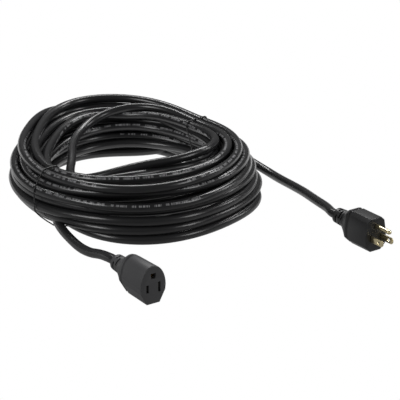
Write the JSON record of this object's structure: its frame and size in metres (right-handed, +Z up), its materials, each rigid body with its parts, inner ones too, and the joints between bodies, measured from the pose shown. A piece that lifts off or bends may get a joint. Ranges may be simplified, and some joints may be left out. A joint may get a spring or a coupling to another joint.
{
  "type": "coiled extension cord",
  "caption": "Oval coil of round black three-core cord held by two thin ties, with a grounded plug on one end and a grounded connector on the other.",
  "frame": {"origin": "On the floor, under the middle of the box that the plug and the connector span together.", "axes": "+Z up from the floor; +X from the connector's side to the plug's side; +Y from the two ends towards the coil."},
  "size_m": [0.4007, 0.4576, 0.062],
  "materials": {
    "cord_jacket": "satin extruded PVC jacket with a faint printed legend",
    "plug_pvc": "satin moulded PVC",
    "connector_pvc": "matt moulded PVC",
    "carrier_nylon": "natural moulded nylon",
    "blade_brass": "polished stamped brass",
    "wire_line": "smooth",
    "wire_neutral": "smooth",
    "wire_ground": "smooth",
    "wire_copper": "bright stranded copper",
    "tie_wrap": "satin"
  },
  "bodies": {
    "root": {"plug_body": "plug_pvc", "plug_blade_carrier": "carrier_nylon", "plug_line_blade": "blade_brass", "plug_neutral_blade": "blade_brass", "plug_ground_pin": "blade_brass", "plug_strain_relief": "plug_pvc", "plug_line_wire": "wire_line", "plug_line_copper": "wire_copper", "plug_neutral_wire": "wire_neutral", "plug_neutral_copper": "wire_copper", "plug_ground_wire": "wire_ground", "plug_ground_copper": "wire_copper", "connector_body": "connector_pvc", "connector_contact_carrier": "carrier_nylon", "connector_line_contact": "blade_brass", "connector_neutral_contact": "blade_brass", "connector_ground_contact": "blade_brass", "connector_strain_relief": "connector_pvc", "connector_line_wire": "wire_line", "connector_line_copper": "wire_copper", "connector_neutral_wire": "wire_neutral", "connector_neutral_copper": "wire_copper", "connector_ground_wire": "wire_ground", "connector_ground_copper": "wire_copper", "cord_coil": "cord_jacket", "plug_tail": "cord_jacket", "connector_tail": "cord_jacket", "front_left_tie": "tie_wrap", "rear_right_tie": "tie_wrap"}
  },
  "joints": []
}
